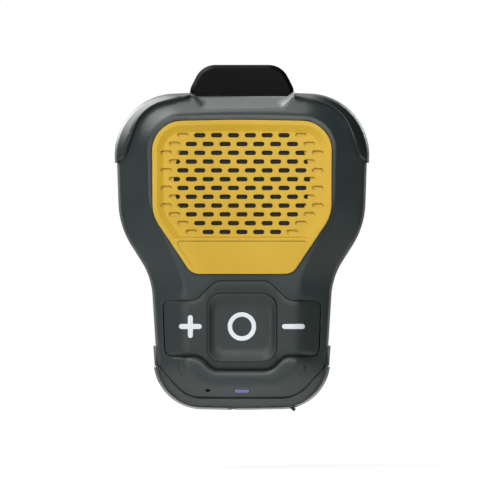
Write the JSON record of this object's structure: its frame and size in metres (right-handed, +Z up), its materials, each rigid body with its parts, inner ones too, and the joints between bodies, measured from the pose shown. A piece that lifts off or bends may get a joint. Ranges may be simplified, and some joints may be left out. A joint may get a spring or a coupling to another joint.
{
  "type": "clip-on bluetooth speaker",
  "caption": "Palm-sized wireless speaker for a strap or pocket: slotted driver plate, volume and play keys, rubber corner bumpers, covered charging port, sprung back clip with a magnet foot.",
  "frame": {"origin": "centre of the width and of the body's height, on the clip's magnet pad, where it lies on a flat steel face", "axes": "+X to the right as seen from the front, +Z up towards the thumb tab, and the front faces -Y; +Y leaves the back of the magnet pad"},
  "size_m": [0.068, 0.0331, 0.0926],
  "materials": {
    "dark_shell": "fine even moulded texture",
    "yellow_shell": "smooth satin",
    "bumper_rubber": "satin",
    "key_rubber": "soft matte",
    "key_plastic": "fine satin",
    "white_print": "satin",
    "light_guide": "frosted translucent",
    "black_cloth": "fine woven",
    "black_foam": "foam",
    "grey_metal": "satin",
    "steel": "brushed",
    "nickel": "bright nickel",
    "magnet_grey": "dull sintered",
    "copper_wire": "lacquered wire",
    "cone_paper": "pressed fibre",
    "tan_cloth": "resin-dipped weave",
    "board_green": "solder mask",
    "chip_black": "fine matte",
    "plug_white": "natural nylon",
    "cell_wrap": "foil laminate",
    "lead_sleeve": "smooth sleeve"
  },
  "bodies": {
    "housing": {"front_shell": "dark_shell", "rear_shell": "dark_shell", "case_seal": "key_rubber", "case_screws": "steel", "top_bumper_right": "bumper_rubber", "top_bumper_left": "bumper_rubber", "bottom_bumper": "bumper_rubber", "side_grip_left": "bumper_rubber", "side_grip_right": "bumper_rubber", "slotted_plate": "yellow_shell", "acoustic_mesh": "black_cloth", "driver_gasket": "black_foam", "driver_basket": "grey_metal", "surround": "key_rubber", "spider": "tan_cloth", "top_plate": "steel", "ring_magnet": "magnet_grey", "yoke": "steel", "driver_screws": "steel", "keypad_mat": "key_rubber", "key_switches": "chip_black", "main_board": "board_green", "board_screws": "steel", "radio_module": "nickel", "amplifier_chip": "chip_black", "battery_plug": "plug_white", "status_led": "light_guide", "microphone": "nickel", "light_pipe": "light_guide", "microphone_seal": "key_rubber", "usb_socket": "nickel", "battery_cell": "cell_wrap", "battery_foam": "black_foam", "battery_lead": "lead_sleeve", "speaker_lead": "lead_sleeve", "cover_pin": "steel", "clip_bracket": "dark_shell", "bracket_screws": "steel", "grip_pad": "key_rubber", "clip_spring": "steel"},
    "volume_up": {"volume_up_key": "key_plastic", "plus_mark": "white_print", "volume_up_plunger": "plug_white"},
    "play": {"centre_key": "key_plastic", "ring_mark": "white_print", "centre_plunger": "plug_white"},
    "volume_down": {"volume_down_key": "key_plastic", "minus_mark": "white_print", "volume_down_plunger": "plug_white"},
    "diaphragm": {"cone": "cone_paper", "dust_cap": "cone_paper", "voice_coil": "copper_wire"},
    "clip": {"clip_arm": "dark_shell", "clip_pin": "steel", "clip_magnets": "nickel", "magnet_pad": "key_rubber"},
    "cover": {"port_cover": "bumper_rubber"}
  },
  "joints": [
    {"name": "volume_up_press", "type": "slide", "parent": "housing", "child": "volume_up", "axis": [0, 1, 0], "range_m": [0, 0.0005], "stiffness_N_per_m": 600, "springref_m": -0.0004},
    {"name": "play_press", "type": "slide", "parent": "housing", "child": "play", "axis": [0, 1, 0], "range_m": [0, 0.0005], "stiffness_N_per_m": 600, "springref_m": -0.0004},
    {"name": "volume_down_press", "type": "slide", "parent": "housing", "child": "volume_down", "axis": [0, 1, 0], "range_m": [0, 0.0005], "stiffness_N_per_m": 600, "springref_m": -0.0004},
    {"name": "cone_stroke", "type": "slide", "parent": "housing", "child": "diaphragm", "axis": [0, 1, 0], "range_m": [-0.0008, 0.0008], "stiffness_N_per_m": 500, "deforming": ["surround", "spider"]},
    {"name": "clip_hinge", "type": "hinge", "parent": "housing", "child": "clip", "pos_m": [0, -0.0066, 0.0295], "axis": [1, 0, 0], "range_deg": [0, 12], "stiffness_Nm_per_rad": 0.2, "springref_deg": -40.11, "deforming": ["clip_spring"]},
    {"name": "cover_hinge", "type": "hinge", "parent": "housing", "child": "cover", "pos_m": [-0.00195, -0.0222, -0.04125], "axis": [0, 1, 0], "range_deg": [0, 100]}
  ]
}
